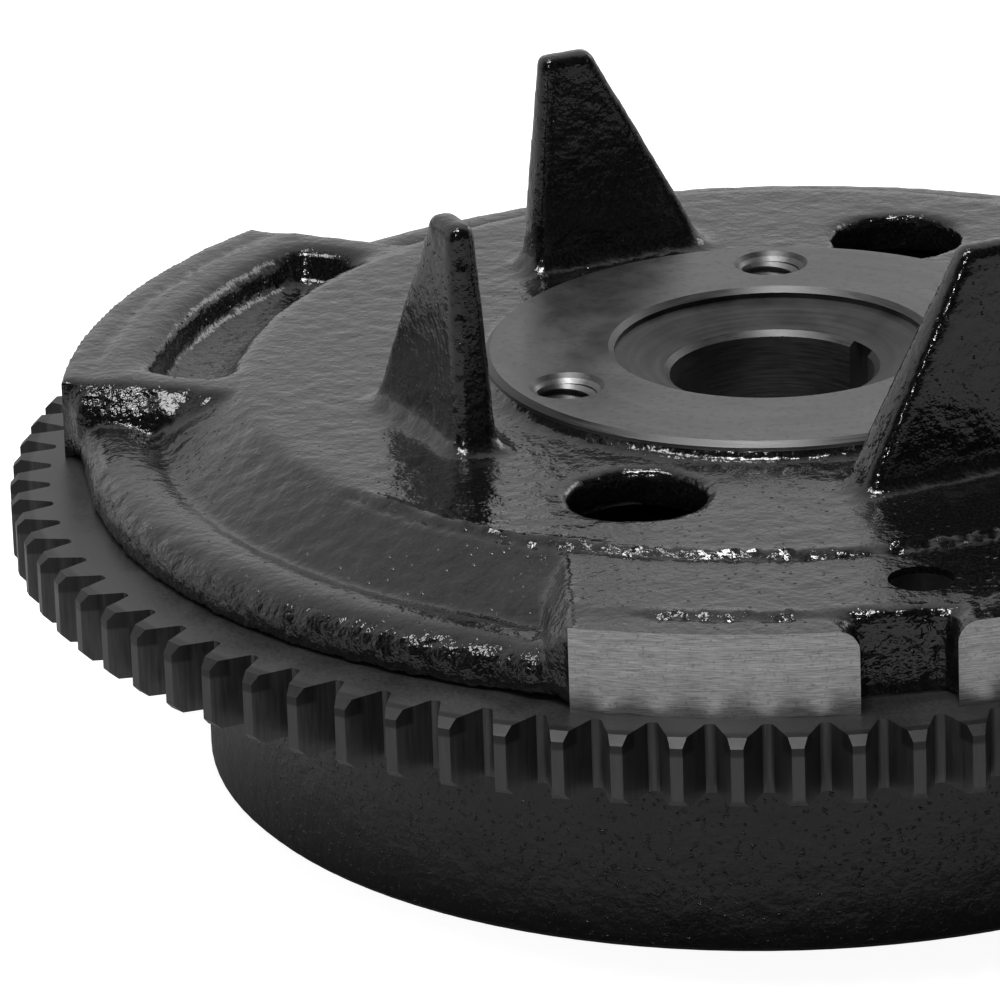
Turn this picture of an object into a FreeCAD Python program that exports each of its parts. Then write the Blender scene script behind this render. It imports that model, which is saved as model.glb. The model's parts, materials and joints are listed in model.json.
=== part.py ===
import FreeCAD, Part
import math
import os
import Sketcher

# Flywheel of a small air-cooled engine.  The axis is Z.  The open rim of the
# drum rests on z = 0 and the cooling fins point up, towards +Z.

document = FreeCAD.newDocument("flywheel")
sheet = document.addObject("Spreadsheet::Sheet", "dims")

DRIVING = [
    ("gear_module", 2.54),
    ("tooth_count", 86),
    ("tooth_tip_width", 1.7),
    ("tooth_root_gap", 1.5),
    ("tooth_corner", 1.2),
    ("tooth_turn", 1.93),
    ("tooth_root_sag", 0.2),
    ("gear_thickness", 10.0),
    ("gear_seat_radius", 98.0),
    ("drum_radius", 84.3),
    ("drum_inner_radius", 77.0),
    ("drum_height", 33.5),
    ("web_thickness", 6.0),
    ("disc_radius", 77.0),
    ("disc_height", 56.7),
    ("groove_radius", 89.5),
    ("groove_height", 49.2),
    ("ridge_inner_radius", 92.2),
    ("ridge_crest_height", 50.5),
    ("ridge_outer_radius", 101.1),
    ("ridge_roll", 5.0),
    ("ridge_crest_width", 0.9),
    ("ridge_crest_fall", 0.1),
    ("disc_edge_radius", 2.5),
    ("hub_foot_radius", 2.0),
    ("inner_corner_radius", 3.0),
    ("hub_radius", 41.9),
    ("hub_height", 59.6),
    ("counterbore_radius", 23.0),
    ("counterbore_wall", 1.6),
    ("counterbore_depth", 4.0),
    ("seam_turn", -12.0),
    ("bore_radius", 15.0),
    ("boss_radius", 26.0),
    ("boss_bottom", 14.0),
    ("key_width", 5.0),
    ("key_depth", 1.8),
    ("key_turn", 21.0),
    ("puller_circle_radius", 34.0),
    ("puller_hole_diameter", 8.5),
    ("puller_sink_diameter", 11.0),
    ("puller_turn", 80.0),
    ("window_circle_radius", 56.6),
    ("window_radius", 9.7),
    ("window_turn", 60.4),
    ("window_edge_radius", 0.9),
    ("land_radius", 104.0),
    ("land_height", 56.1),
    ("land_step", 0.4),
    ("land_root_depth", 3.0),
    ("land_inner", 77.4),
    ("side_land_inner_half", 34.0),
    ("side_land_outer_half", 35.2),
    ("left_land_turn", 150.0),
    ("right_land_turn", 30.0),
    ("front_land_inner_half", 41.2),
    ("front_land_outer_half", 44.9),
    ("front_land_turn", -90.0),
    ("pad_gap_radius", 98.3),
    ("pad_gap_half_angle", 3.7),
    ("step_radius", 97.8),
    ("pad_corner", 3.0),
    ("recess_inner_radius", 79.8),
    ("recess_outer_radius", 91.2),
    ("recess_half_width", 27.4),
    ("recess_depth", 6.0),
    ("recess_corner", 2.5),
    ("recess_floor_radius", 2.0),
    ("timing_hole_radius", 4.6),
    ("timing_hole_circle", 88.2),
    ("timing_hole_turn", -86.9),
    ("timing_hole_depth", 9.0),
    ("fin_distance", 53.2),
    ("fin_turn", 105.5),
    ("fin_base_near", -14.6),
    ("fin_base_far", 15.6),
    ("fin_base_half_thickness", 3.4),
    ("fin_base_flare", 1.2),
    ("fin_top_near", 4.3),
    ("fin_top_far", 12.2),
    ("fin_top_half_thickness", 2.0),
    ("fin_corner", 1.6),
    ("fin_root_depth", 2.0),
    ("fin_foot_radius", 3.0),
    ("fin_tip_radius", 1.5),
    ("fin_height", 89.9),
    ("magnet_count", 12),
    ("magnet_angle", 27.0),
    ("magnet_inner_radius", 68.5),
    ("magnet_bottom", 4.0),
    ("magnet_length", 25.0),
    ("cage_band", 2.0),
    ("edge_break", 0.8),
]

DERIVED = [
    ("tip_radius", "=gear_module * (tooth_count + 2) / 2"),
    ("root_radius", "=gear_module * (tooth_count - 2.5) / 2"),
    ("gear_top", "=drum_height + gear_thickness"),
    ("web_bottom", "=disc_height - web_thickness"),
    ("counterbore_shoulder", "=hub_height - counterbore_wall"),
    ("counterbore_floor", "=hub_height - counterbore_depth"),
    ("bore_top", "=counterbore_floor - edge_break"),
    ("bore_break", "=bore_radius + edge_break"),
    ("boss_low", "=boss_bottom + edge_break"),
    ("boss_break", "=boss_radius - edge_break"),
    ("hub_low", "=hub_height - edge_break"),
    ("hub_break", "=hub_radius - edge_break"),
    ("counterbore_break", "=counterbore_radius + edge_break"),
    ("drum_break", "=drum_radius - edge_break"),
    ("drum_inner_break", "=drum_inner_radius + edge_break"),
    ("ridge_shoulder_height", "=ridge_crest_height - ridge_crest_fall"),
    ("ridge_crest_radius", "=ridge_outer_radius - ridge_crest_width"),
    ("fin_base_height", "=disc_height - fin_root_depth"),
    ("land_root", "=gear_top - land_root_depth"),
    ("band_height", "=land_height - land_step"),
    ("recess_floor", "=land_height - recess_depth"),
    ("cage_bottom", "=magnet_bottom - cage_band"),
    ("cage_height", "=magnet_length + 2 * cage_band"),
]

CLOSE = 0.01
RING_CLOSE = 0.05
CLEAR = 1.0
FULL_TURN = 360.0

for row, (name, value) in enumerate(DRIVING + DERIVED, start=1):
    sheet.set("A%d" % row, name)
    sheet.set("B%d" % row, str(value))
    sheet.setAlias("B%d" % row, name)
document.recompute()


def size(name):
    """Number held in the sheet under an alias."""
    return float(sheet.get(name))


def at(radius, degrees):
    """Point in the XY plane from a radius and an angle."""
    angle = math.radians(degrees)
    return (radius * math.cos(angle), radius * math.sin(angle))


def vector(point):
    return FreeCAD.Vector(point[0], point[1], 0)


def new_body(label):
    body = document.addObject("PartDesign::Body", label)
    body.Label = label
    return body


def new_sketch(body, name, plane="XY_Plane", height=None):
    """Sketch on one of the body's own origin planes, lifted to a sheet height."""
    sketch = body.newObject("Sketcher::SketchObject", name)
    origin = [f for f in body.Origin.OriginFeatures if f.Role == plane][0]
    sketch.AttachmentSupport = [(origin, "")]
    sketch.MapMode = "FlatFace"
    if height:
        sketch.setExpression("AttachmentOffset.Base.z", "dims." + height)
    return sketch


def closed_section(sketch, corners):
    """Closed polygon whose corners are pairs of sheet aliases; None means a height of zero."""
    points = []
    for across, up in corners:
        points.append((size(across), size(up) if up else 0.0))
    count = len(points)
    for index in range(count):
        start = vector(points[index])
        end = vector(points[(index + 1) % count])
        sketch.addGeometry(Part.LineSegment(start, end), False)
    for index in range(count):
        following = (index + 1) % count
        sketch.addConstraint(Sketcher.Constraint("Coincident", index, 2, following, 1))
    for index, (across, up) in enumerate(corners):
        number = sketch.addConstraint(
            Sketcher.Constraint("DistanceX", -1, 1, index, 1, points[index][0]))
        sketch.setExpression("Constraints[%d]" % number, "dims." + across)
        if up is None:
            sketch.addConstraint(Sketcher.Constraint("PointOnObject", index, 1, -1))
            continue
        number = sketch.addConstraint(
            Sketcher.Constraint("DistanceY", -1, 1, index, 1, points[index][1]))
        sketch.setExpression("Constraints[%d]" % number, "dims." + up)


def chain(sketch, edges):
    """Closed loop of ready-made lines and arcs, joined end to start."""
    for edge in edges:
        sketch.addGeometry(edge, False)


def line(start, end):
    return Part.LineSegment(vector(start), vector(end))


def arc(start, middle, end):
    return Part.Arc(vector(start), vector(middle), vector(end))


def sector(sketch, inner, outer, start, end):
    middle = (start + end) / 2
    chain(sketch, [
        arc(at(outer, start), at(outer, middle), at(outer, end)),
        line(at(outer, end), at(inner, end)),
        arc(at(inner, end), at(inner, middle), at(inner, start)),
        line(at(inner, start), at(outer, start))])


def add_circle(sketch, centre, radius_name):
    circle = Part.Circle(vector(centre), FreeCAD.Vector(0, 0, 1), size(radius_name))
    index = sketch.addGeometry(circle, False)
    number = sketch.addConstraint(Sketcher.Constraint("Radius", index, size(radius_name)))
    sketch.setExpression("Constraints[%d]" % number, "dims." + radius_name)


def revolve(body, sketch, name, kind="PartDesign::Revolution"):
    feature = body.newObject(kind, name)
    feature.Profile = sketch
    feature.ReferenceAxis = (sketch, ["V_Axis"])
    feature.Angle = FULL_TURN
    document.recompute()
    return feature


def pad(body, sketch, name, length):
    feature = body.newObject("PartDesign::Pad", name)
    feature.Profile = sketch
    feature.setExpression("Length", length)
    document.recompute()
    return feature


def cut(body, sketch, name, length=None, upward=False):
    """Pocket below (or above) the sketch plane; without a length it goes right through."""
    before = body.Shape.Volume
    feature = body.newObject("PartDesign::Pocket", name)
    feature.Profile = sketch
    if length:
        feature.setExpression("Length", length)
    else:
        feature.Type = "ThroughAll"
    feature.Reversed = upward
    document.recompute()
    if not body.Shape.Volume < before - CLEAR:
        raise RuntimeError(name + " removed nothing")
    return feature


def polar(body, features, name, count_expression):
    """Features repeated all the way round the axis."""
    pattern = body.newObject("PartDesign::PolarPattern", name)
    pattern.Originals = features
    z_axis = [f for f in body.Origin.OriginFeatures if f.Role == "Z_Axis"][0]
    pattern.Axis = (z_axis, [""])
    pattern.Angle = FULL_TURN
    pattern.setExpression("Occurrences", count_expression)
    body.Tip = pattern
    document.recompute()
    return pattern


def ring_edges(shape, wanted):
    """Names of the full or part circles that match (radius, height) pairs."""
    names = []
    for index, edge in enumerate(shape.Edges, start=1):
        curve = edge.Curve
        if not isinstance(curve, Part.Circle):
            continue
        if abs(curve.Axis.z) < 1.0 - CLOSE or math.hypot(curve.Center.x, curve.Center.y) > CLOSE:
            continue
        for radius, height in wanted:
            if abs(curve.Radius - radius) < RING_CLOSE and abs(curve.Center.z - height) < RING_CLOSE:
                names.append("Edge%d" % index)
                break
    return names


def picked_edges(shape, test):
    """Names of the edges whose middle point and two end points pass a test."""
    names = []
    for index, edge in enumerate(shape.Edges, start=1):
        middle = edge.valueAt((edge.FirstParameter + edge.LastParameter) / 2)
        points = [middle] + [vertex.Point for vertex in edge.Vertexes]
        if all(test(point) for point in points):
            names.append("Edge%d" % index)
    return names


def soften(body, name, radius, test):
    """Fillet on every edge that passes a test."""
    base = body.Tip
    names = picked_edges(base.Shape, test)
    if not names:
        raise RuntimeError(name + " found no edges")
    feature = body.newObject("PartDesign::Fillet", name)
    feature.Base = (base, names)
    feature.Radius = radius
    document.recompute()
    if feature.Shape.isNull() or not feature.Shape.isValid():
        raise RuntimeError(name + " failed")
    return feature


def round_upright(body, name, radius, test):
    """Fillet on the upright straight edges that pass a test."""
    base = body.Tip
    upright = []
    for edge_name in picked_edges(base.Shape, test):
        ends = base.Shape.getElement(edge_name).Vertexes
        across = math.hypot(ends[0].X - ends[-1].X, ends[0].Y - ends[-1].Y)
        if across < CLOSE and abs(ends[0].Z - ends[-1].Z) > CLEAR:
            upright.append(edge_name)
    if not upright:
        raise RuntimeError(name + " found no edges")
    feature = body.newObject("PartDesign::Fillet", name)
    feature.Base = (base, upright)
    feature.Radius = radius
    document.recompute()
    return feature


def round_edges(body, name, radius, wanted, kind="PartDesign::Fillet"):
    """Fillet or chamfer on the circles that match (radius, height) pairs."""
    base = body.Tip
    names = ring_edges(base.Shape, wanted)
    if len(names) < len(wanted):
        raise RuntimeError(name + " found too few edges")
    feature = body.newObject(kind, name)
    feature.Base = (base, names)
    if kind == "PartDesign::Fillet":
        feature.Radius = radius
    else:
        feature.Size = radius
    document.recompute()
    return feature


def turned_blank(body):
    """Everything on the casting that is round: hub, web, rim, ridge and drum."""
    section = new_sketch(body, "casting_section", "XZ_Plane")
    seam_turn = FreeCAD.Rotation(FreeCAD.Vector(0, 1, 0), size("seam_turn"))
    section.AttachmentOffset = FreeCAD.Placement(FreeCAD.Vector(0, 0, 0), seam_turn)
    closed_section(section, [
        ("bore_radius", "boss_low"),
        ("bore_break", "boss_bottom"),
        ("boss_break", "boss_bottom"),
        ("boss_radius", "boss_low"),
        ("boss_radius", "web_bottom"),
        ("drum_inner_radius", "web_bottom"),
        ("drum_inner_radius", "edge_break"),
        ("drum_inner_break", None),
        ("drum_break", None),
        ("drum_radius", "edge_break"),
        ("drum_radius", "drum_height"),
        ("ridge_outer_radius", "drum_height"),
        ("ridge_crest_radius", "ridge_crest_height"),
        ("ridge_inner_radius", "ridge_shoulder_height"),
        ("groove_radius", "groove_height"),
        ("disc_radius", "disc_height"),
        ("hub_radius", "disc_height"),
        ("hub_radius", "hub_low"),
        ("hub_break", "hub_height"),
        ("counterbore_break", "hub_height"),
        ("counterbore_radius", "hub_low"),
        ("counterbore_radius", "counterbore_shoulder"),
        ("bore_break", "counterbore_floor"),
        ("bore_radius", "bore_top"),
    ])
    revolve(body, section, "casting_turned")
    disc = size("disc_height")
    round_edges(body, "ridge_crest_roll", size("ridge_roll"), [
        (size("ridge_crest_radius"), size("ridge_crest_height"))])
    round_edges(body, "disc_edge_roll", size("disc_edge_radius"), [(size("disc_radius"), disc)])
    round_edges(body, "hub_foot", size("hub_foot_radius"), [(size("hub_radius"), disc)])
    round_edges(body, "inner_corners", size("inner_corner_radius"), [
        (size("boss_radius"), size("web_bottom")),
        (size("drum_inner_radius"), size("web_bottom"))])


def land_outline(sketch, turn, inner_half_width, outer_half_width):
    """Rim land: arcs inside and outside, end faces nearly parallel to its centre line."""
    outer = size("land_radius") + CLEAR
    inner = size("land_inner")
    outer_reach = math.degrees(math.asin(outer_half_width / outer))
    inner_reach = math.degrees(math.asin(inner_half_width / inner))
    chain(sketch, [
        arc(at(outer, turn - outer_reach), at(outer, turn), at(outer, turn + outer_reach)),
        line(at(outer, turn + outer_reach), at(inner, turn + inner_reach)),
        arc(at(inner, turn + inner_reach), at(inner, turn), at(inner, turn - inner_reach)),
        line(at(inner, turn - inner_reach), at(outer, turn - outer_reach))])


def turned_cut(body, name, near, low, high):
    """Lathe cut that removes everything outside a radius between two heights."""
    section = new_sketch(body, name + "_section", "XZ_Plane")
    far = size("tip_radius")
    chain(section, [
        line((near, low), (far, low)),
        line((far, low), (far, high)),
        line((far, high), (near, high)),
        line((near, high), (near, low))])
    before = body.Shape.Volume
    revolve(body, section, name, "PartDesign::Groove")
    if not body.Shape.Volume < before - CLEAR:
        raise RuntimeError(name + " removed nothing")


def rim_lands(body):
    sketch = new_sketch(body, "land_outlines", "XY_Plane", "land_root")
    side_inner = size("side_land_inner_half")
    side_outer = size("side_land_outer_half")
    land_outline(sketch, size("left_land_turn"), side_inner, side_outer)
    land_outline(sketch, size("right_land_turn"), side_inner, side_outer)
    land_outline(sketch, size("front_land_turn"), size("front_land_inner_half"),
                 size("front_land_outer_half"))
    pad(body, sketch, "rim_lands", "dims.land_height - dims.land_root")
    clear = size("land_height") + CLEAR
    turned_cut(body, "land_faces", size("land_radius"), size("drum_height"), clear)
    turned_cut(body, "land_band", size("step_radius"), size("band_height"), clear)
    seat_low = size("drum_height") - CLEAR
    turned_cut(body, "ring_seat", size("gear_seat_radius"), seat_low, size("gear_top"))


def land_recess(body, name, turn):
    """Curved cast recess between the disc and the outer band of a side land."""
    sketch = new_sketch(body, name + "_outline", "XY_Plane", "land_height")
    inner = size("recess_inner_radius")
    outer = size("recess_outer_radius")
    half_width = size("recess_half_width")
    inner_reach = math.degrees(math.asin(half_width / inner))
    outer_reach = math.degrees(math.asin(half_width / outer))
    chain(sketch, [
        arc(at(outer, turn - outer_reach), at(outer, turn), at(outer, turn + outer_reach)),
        line(at(outer, turn + outer_reach), at(inner, turn + inner_reach)),
        arc(at(inner, turn + inner_reach), at(inner, turn), at(inner, turn - inner_reach)),
        line(at(inner, turn - inner_reach), at(outer, turn - outer_reach))])
    cut(body, sketch, name, "dims.recess_depth")


def in_recess(point):
    """True on the walls of either recess, floor edge included."""
    radius = math.hypot(point.x, point.y)
    inside = size("recess_inner_radius") - CLOSE < radius < size("recess_outer_radius") + CLOSE
    reach = math.degrees(math.asin(size("recess_half_width") / size("recess_inner_radius")))
    angle = math.degrees(math.atan2(point.y, point.x))
    off_centre = min(abs(angle - size(name)) for name in ("left_land_turn", "right_land_turn"))
    return inside and off_centre < reach + CLEAR and point.z > size("recess_floor") - CLOSE


def at_pad_gap(point):
    """True on the top edges of the gap between the two front pads."""
    on_band = abs(point.z - size("band_height")) < CLOSE
    outside = math.hypot(point.x, point.y) > size("pad_gap_radius") - CLOSE
    turn = math.degrees(math.atan2(point.y, point.x)) - size("front_land_turn")
    return on_band and outside and abs(abs(turn) - size("pad_gap_half_angle")) < CLOSE


def land_details(body):
    land_recess(body, "left_recess", size("left_land_turn"))
    land_recess(body, "right_recess", size("right_land_turn"))
    floor = size("recess_floor")
    round_upright(body, "recess_corners", size("recess_corner"), in_recess)
    soften(body, "recess_floor_edge", size("recess_floor_radius"),
           lambda p: in_recess(p) and abs(p.z - floor) < CLOSE)

    gap = new_sketch(body, "pad_gap_outline", "XY_Plane", "gear_top")
    inner = size("pad_gap_radius")
    outer = size("land_radius") + CLEAR
    middle = size("front_land_turn")
    start = middle - size("pad_gap_half_angle")
    end = middle + size("pad_gap_half_angle")
    sector(gap, inner, outer, start, end)
    cut(body, gap, "pad_gap", "dims.land_height - dims.gear_top", upward=True)
    soften(body, "pad_corners", size("pad_corner"), at_pad_gap)

    timing = new_sketch(body, "timing_hole_outline", "XY_Plane", "land_height")
    add_circle(timing, at(size("timing_hole_circle"), size("timing_hole_turn")), "timing_hole_radius")
    cut(body, timing, "timing_hole", "dims.timing_hole_depth")


def fin_outline(sketch, near, far, half_thickness, flare):
    """Rounded blade section seen from above, on a line tangent to the fin circle."""
    corner = size("fin_corner")
    turn = math.radians(size("fin_turn"))
    distance = size("fin_distance")

    def place(along, out):
        outward = distance + out
        return (outward * math.cos(turn) - along * math.sin(turn),
                outward * math.sin(turn) + along * math.cos(turn))

    diagonal = corner * (1 - math.sqrt(0.5))
    corners = [(far, half_thickness, -1, -1), (near, half_thickness + flare, 1, -1),
               (near, -half_thickness, 1, 1), (far, -half_thickness, -1, 1)]
    rounded = []
    for index, (along, out, step_along, step_out) in enumerate(corners):
        before = place(along, out + step_out * corner)
        after = place(along + step_along * corner, out)
        if index % 2:
            before, after = after, before
        middle = place(along + step_along * diagonal, out + step_out * diagonal)
        rounded.append((before, middle, after))
    loop = []
    for index, (before, middle, after) in enumerate(rounded):
        following = rounded[(index + 1) % len(rounded)]
        loop.append(arc(before, middle, after))
        loop.append(line(after, following[0]))
    chain(sketch, loop)


def fins(body):
    base = new_sketch(body, "fin_base", "XY_Plane", "fin_base_height")
    fin_outline(base, size("fin_base_near"), size("fin_base_far"),
                size("fin_base_half_thickness"), size("fin_base_flare"))
    top = new_sketch(body, "fin_top", "XY_Plane", "fin_height")
    fin_outline(top, size("fin_top_near"), size("fin_top_far"),
                size("fin_top_half_thickness"), 0.0)
    document.recompute()
    loft = body.newObject("PartDesign::AdditiveLoft", "fin")
    loft.Profile = base
    loft.Sections = [top]
    loft.Ruled = True
    document.recompute()
    polar(body, [loft], "four_fins", "4")
    high = size("fin_height")
    soften(body, "fin_tips", size("fin_tip_radius"), lambda p: abs(p.z - high) < CLOSE)
    soften(body, "fin_feet", size("fin_foot_radius"), on_disc)


def on_disc(point):
    """True on the flat of the disc, clear of the hub's foot and of the disc's rolled edge."""
    hub_side = size("hub_radius") + size("hub_foot_radius") + CLEAR
    rim_side = size("disc_radius") - size("disc_edge_radius") - CLEAR
    level = abs(point.z - size("disc_height")) < CLOSE
    return level and hub_side < math.hypot(point.x, point.y) < rim_side


def window_centres():
    turn = size("window_turn")
    return [at(size("window_circle_radius"), turn + half) for half in (0.0, FULL_TURN / 2)]


def at_window(point):
    """True on the top edge of either cooling window."""
    gaps = [math.hypot(point.x - x, point.y - y) for x, y in window_centres()]
    return on_disc(point) and min(gaps) < size("window_radius") + CLOSE


def bored_holes(body):
    windows = new_sketch(body, "window_outline", "XY_Plane", "disc_height")
    for centre in window_centres():
        add_circle(windows, centre, "window_radius")
    cut(body, windows, "cooling_windows", "dims.web_thickness + 1")
    soften(body, "window_edges", size("window_edge_radius"), at_window)

    pullers = new_sketch(body, "puller_centres", "XY_Plane", "hub_height")
    for third in range(3):
        centre = at(size("puller_circle_radius"), size("puller_turn") + third * FULL_TURN / 3)
        circle = Part.Circle(vector(centre), FreeCAD.Vector(0, 0, 1), size("puller_hole_diameter") / 2)
        pullers.addGeometry(circle, False)
    document.recompute()
    hole = body.newObject("PartDesign::Hole", "puller_holes")
    hole.Profile = pullers
    hole.ThreadType = "None"
    hole.setExpression("Diameter", "dims.puller_hole_diameter")
    hole.HoleCutType = "Countersink"
    hole.setExpression("HoleCutDiameter", "dims.puller_sink_diameter")
    hole.HoleCutCountersinkAngle = 90.0
    hole.DepthType = "ThroughAll"
    hole.DrillPoint = "Flat"
    document.recompute()

    key = new_sketch(body, "keyway_outline", "XY_Plane", "counterbore_floor")
    half = size("key_width") / 2
    bore = size("bore_radius")
    deep = bore + size("key_depth")
    turn = math.radians(size("key_turn"))

    def place(out, across):
        return (out * math.cos(turn) - across * math.sin(turn),
                out * math.sin(turn) + across * math.cos(turn))

    inside = bore - CLEAR
    corners = [place(inside, -half), place(deep, -half), place(deep, half), place(inside, half)]
    chain(key, [line(corners[i], corners[(i + 1) % 4]) for i in range(4)])
    cut(body, key, "keyway")


def casting():
    body = new_body("flywheel_casting")
    turned_blank(body)
    rim_lands(body)
    land_details(body)
    fins(body)
    bored_holes(body)
    return body


def ring_gear():
    body = new_body("ring_gear")
    section = new_sketch(body, "ring_section", "XZ_Plane")
    closed_section(section, [
        ("gear_seat_radius", "drum_height"),
        ("tip_radius", "drum_height"),
        ("tip_radius", "gear_top"),
        ("gear_seat_radius", "gear_top")])
    revolve(body, section, "ring_blank")
    round_edges(body, "tooth_corners", size("tooth_corner"), [
        (size("tip_radius"), size("drum_height")),
        (size("tip_radius"), size("gear_top"))], "PartDesign::Chamfer")

    # One gap between two teeth, cut down through the ring and repeated round it.
    gap = new_sketch(body, "gap_outline", "XY_Plane", "gear_top")
    pitch = FULL_TURN / size("tooth_count")
    middle = size("tooth_turn") + pitch / 2
    outside = size("tip_radius") + CLEAR
    root = size("root_radius")
    tip = size("tip_radius")
    tip_gap = 2 * math.pi * tip / size("tooth_count") - size("tooth_tip_width")
    root_half = math.degrees(size("tooth_root_gap") / 2 / root)
    slope = (tip_gap - size("tooth_root_gap")) / 2 / (tip - root)
    outside_half = math.degrees((tip_gap / 2 + slope * (outside - tip)) / outside)
    chain(gap, [
        line(at(root, middle - root_half), at(outside, middle - outside_half)),
        line(at(outside, middle - outside_half), at(outside, middle + outside_half)),
        line(at(outside, middle + outside_half), at(root, middle + root_half)),
        arc(at(root, middle + root_half), at(root - size("tooth_root_sag"), middle),
            at(root, middle - root_half))])
    first = cut(body, gap, "tooth_gap", "dims.gear_thickness")
    polar(body, [first], "all_gaps", "dims.tooth_count")
    return body


def magnet(number):
    body = new_body("magnet_%02d" % number)
    outline = new_sketch(body, "magnet_outline_%02d" % number, "XY_Plane", "magnet_bottom")
    half = size("magnet_angle") / 2
    sector(outline, size("magnet_inner_radius"), size("drum_inner_radius"), -half, half)
    pad(body, outline, "magnet_block_%02d" % number, "dims.magnet_length")
    turn = (number - 1) * FULL_TURN / size("magnet_count")
    body.Placement = FreeCAD.Placement(
        FreeCAD.Vector(0, 0, 0), FreeCAD.Rotation(FreeCAD.Vector(0, 0, 1), turn))
    return body


def magnet_cage():
    """Moulded cage: a full ring with one window for each magnet."""
    body = new_body("magnet_cage")
    outline = new_sketch(body, "cage_ring", "XY_Plane", "cage_bottom")
    add_circle(outline, (0, 0), "magnet_inner_radius")
    add_circle(outline, (0, 0), "drum_inner_radius")
    pad(body, outline, "cage_blank", "dims.cage_height")
    window = new_sketch(body, "cage_window", "XY_Plane", "magnet_bottom")
    half = size("magnet_angle") / 2
    near = size("magnet_inner_radius") - CLEAR
    sector(window, near, size("drum_inner_radius") + CLEAR, -half, half)
    first = cut(body, window, "magnet_window", "dims.magnet_length", upward=True)
    polar(body, [first], "all_windows", "dims.magnet_count")
    return body


bodies = [casting(), ring_gear()]
for magnet_number in range(1, int(size("magnet_count")) + 1):
    bodies.append(magnet(magnet_number))
bodies.append(magnet_cage())
document.recompute()

for item in document.Objects:
    if "Invalid" in item.State or "Error" in item.State:
        raise RuntimeError("object not sound: " + item.Name)

os.makedirs("parts", exist_ok=True)
for part_body in bodies:
    shape = part_body.Shape
    if shape.isNull() or not shape.isValid() or len(shape.Solids) != 1:
        raise RuntimeError("sub-part not sound: " + part_body.Label)
    shape.exportStep(os.path.join("parts", part_body.Label + ".step"))
    print(part_body.Label, round(shape.Volume), [round(v, 2) for v in (
        shape.BoundBox.XMin, shape.BoundBox.YMin, shape.BoundBox.ZMin,
        shape.BoundBox.XMax, shape.BoundBox.YMax, shape.BoundBox.ZMax)])
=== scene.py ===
import bmesh
import bpy
import json
import math
import numpy as np
from mathutils import Matrix, Vector, noise


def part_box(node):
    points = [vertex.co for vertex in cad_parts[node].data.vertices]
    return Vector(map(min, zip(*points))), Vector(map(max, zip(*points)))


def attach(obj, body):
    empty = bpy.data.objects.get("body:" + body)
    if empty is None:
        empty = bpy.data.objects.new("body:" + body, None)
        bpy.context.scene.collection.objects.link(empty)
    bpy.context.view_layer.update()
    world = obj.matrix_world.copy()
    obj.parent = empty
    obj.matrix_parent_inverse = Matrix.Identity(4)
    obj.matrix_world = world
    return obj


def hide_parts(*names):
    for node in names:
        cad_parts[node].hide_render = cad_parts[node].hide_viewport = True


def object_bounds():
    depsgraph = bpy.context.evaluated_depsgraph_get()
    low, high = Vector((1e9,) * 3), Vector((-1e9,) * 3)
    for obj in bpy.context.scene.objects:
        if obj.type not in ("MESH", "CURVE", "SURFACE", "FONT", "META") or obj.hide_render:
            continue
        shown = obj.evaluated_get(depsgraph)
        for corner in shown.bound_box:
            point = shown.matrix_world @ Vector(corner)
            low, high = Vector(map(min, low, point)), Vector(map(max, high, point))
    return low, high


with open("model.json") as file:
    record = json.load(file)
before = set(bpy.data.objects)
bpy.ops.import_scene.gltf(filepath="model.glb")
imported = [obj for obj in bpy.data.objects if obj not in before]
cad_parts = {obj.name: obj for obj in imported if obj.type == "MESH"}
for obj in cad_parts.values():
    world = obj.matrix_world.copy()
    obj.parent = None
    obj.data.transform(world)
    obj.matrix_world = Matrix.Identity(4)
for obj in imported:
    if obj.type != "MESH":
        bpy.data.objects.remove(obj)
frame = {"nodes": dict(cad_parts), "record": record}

# Flywheel of a small air-cooled engine: one iron casting with its starter ring, magnets and
# magnet cage.  All lengths are metres, in the frame of the CAD nodes.

MM = 0.001
CAD_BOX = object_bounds()
RECORD = frame["record"]
NODES = frame["nodes"]
MOUNTS = {mount["name"]: mount for mount in RECORD["mounts"]}

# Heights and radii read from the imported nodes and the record's mounts.
GEAR_LOW, GEAR_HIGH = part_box("ring_gear")
CAST_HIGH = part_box("flywheel_casting")[1]
TIP_RADIUS = GEAR_HIGH.x
GEAR_BOTTOM = GEAR_LOW.z
GEAR_TOP = GEAR_HIGH.z
FIN_TOP = CAST_HIGH.z
HUB_TOP = MOUNTS["hub_face"]["pos_m"][2]
BORE_RADIUS = MOUNTS["crank_bore"]["dims"]["r_mm"] * MM
PULLER_CIRCLE = MOUNTS["puller_holes"]["dims"]["pcd_mm"] * MM / 2
PULLER_RADIUS = MOUNTS["puller_holes"]["dims"]["hole_r_mm"] * MM
DRUM_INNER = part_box("magnet_01")[1].x

# The casting's own proportions.
HUB_RADIUS = 41.9 * MM
COUNTERBORE_RADIUS = 23.0 * MM
DISC_TOP = HUB_TOP - 2.9 * MM
DRUM_RADIUS = 84.3 * MM
LAND_RADIUS = 104.0 * MM
STEP_RADIUS = 97.8 * MM
DISC_RADIUS = 77.0 * MM
LAND_INNER = 77.4 * MM
PAD_GAP_RADIUS = 98.3 * MM
END_DRAFT = 3.0 * MM
SEAT_RADIUS = 98.0 * MM
BAND_TOP = HUB_TOP - 3.9 * MM
LAND_TOP = BAND_TOP + 0.4 * MM
WEB_BOTTOM = DISC_TOP - 6.0 * MM
BOSS_RADIUS = 26.0 * MM
BOSS_BOTTOM = 14.0 * MM
FRONT_LAND_HALF = 44.9 * MM
FRONT_LAND_INNER_HALF = 41.2 * MM
FRONT_LAND_TURN = math.radians(-90.0)
SIDE_LAND_INNER_HALF = 34.0 * MM
SIDE_LAND_OUTER_HALF = 35.2 * MM
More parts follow.
